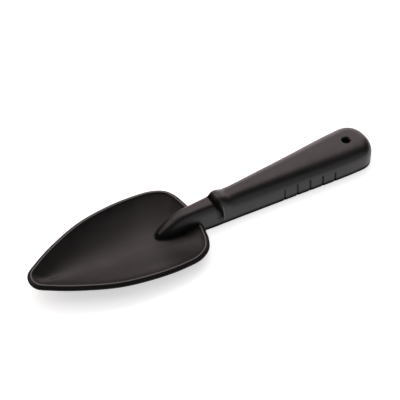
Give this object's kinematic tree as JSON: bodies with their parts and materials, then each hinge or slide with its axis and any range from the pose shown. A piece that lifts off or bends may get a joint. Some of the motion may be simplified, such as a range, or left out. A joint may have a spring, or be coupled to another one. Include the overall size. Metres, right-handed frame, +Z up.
{
  "type": "garden hand trowel",
  "caption": "One-hand plastic trowel with a leaf-shaped dished blade, raised rim bead, arched neck, thumb stop and hollow handle with finger grooves and hanging hole.",
  "frame": {"origin": "middle of the trowel's length and width, on the surface that it lies on", "axes": "+X from the blade's tip to the handle's end, +Y to the left, +Z up out of the dish, with y = 0 the plane of symmetry"},
  "size_m": [0.3, 0.0838, 0.0236],
  "materials": {
    "black_plastic": "black moulded plastic, satin, slightly warm",
    "cover_plastic": "black moulded plastic, a little duller than the body",
    "zinc_steel": "zinc-plated steel"
  },
  "bodies": {
    "root": {"trowel_body": "black_plastic", "handle_back_cover": "cover_plastic", "cover_screw_1": "zinc_steel", "cover_screw_2": "zinc_steel", "cover_screw_3": "zinc_steel", "cover_screw_4": "zinc_steel"}
  },
  "joints": []
}
